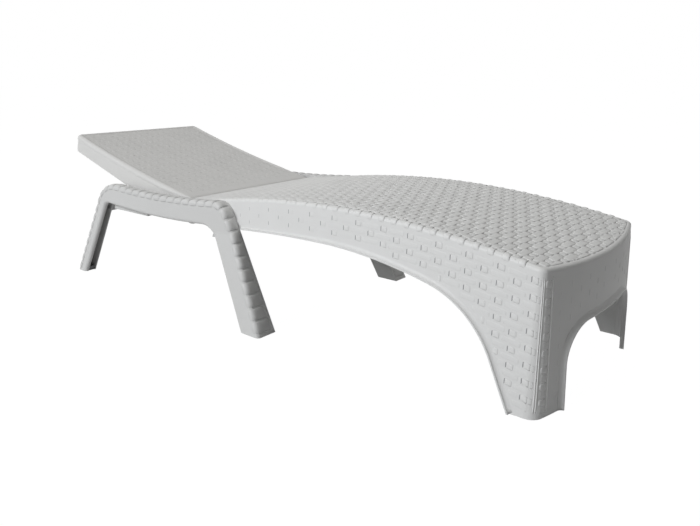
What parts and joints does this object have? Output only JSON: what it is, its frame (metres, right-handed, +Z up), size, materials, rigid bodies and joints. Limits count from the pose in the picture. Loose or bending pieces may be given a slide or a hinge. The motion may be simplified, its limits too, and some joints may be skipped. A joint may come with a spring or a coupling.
{
  "type": "reclining sun and spa lounger",
  "caption": "Low resin lounger with a wave-shaped seat moulding, two arched side frames and a hinged backrest propped by a stay on notched racks.",
  "frame": {"origin": "centre of the footprint on the floor", "axes": "+X towards the foot end, +Y towards the left side of a person lying on it, +Z up"},
  "size_m": [1.9654, 0.762, 0.5119],
  "materials": {
    "resin": "moulded polypropylene with a basket weave relief",
    "steel_rod": "zinc-plated drawn rod",
    "fastener": "zinc-plated",
    "foot_plug": "plain moulded"
  },
  "bodies": {
    "base": {"seat_shell": "resin", "side_frame_left": "resin", "side_frame_right": "resin", "cross_bar": "resin", "cross_bar_screws": "fastener", "hinge_pin_left": "resin", "hinge_pin_right": "resin", "seat_bolts": "fastener", "seat_nuts": "fastener", "foot_plug_mid_left": "foot_plug", "foot_plug_mid_right": "foot_plug", "foot_plug_rear_left": "foot_plug", "foot_plug_rear_right": "foot_plug"},
    "backrest": {"backrest_shell": "resin", "stay_pivot_rod": "steel_rod", "stay_clip_left": "resin", "stay_clip_right": "resin", "clip_screws": "fastener"},
    "stay": {"stay_yoke": "resin", "stay_foot_rod": "steel_rod"}
  },
  "joints": [
    {"name": "backrest_hinge", "type": "hinge", "parent": "base", "child": "backrest", "pos_m": [-0.303, 0, 0.3185], "axis": [0, 1, 0], "range_deg": [-13.5, 41.5]},
    {"name": "stay_hinge", "type": "hinge", "parent": "backrest", "child": "stay", "pos_m": [-0.50073, 0, 0.35981], "axis": [0, 1, 0], "range_deg": [-84, 28]}
  ],
  "couplings": [
    {"joint": "stay_hinge", "follows": "backrest_hinge", "ratio": -2}
  ]
}
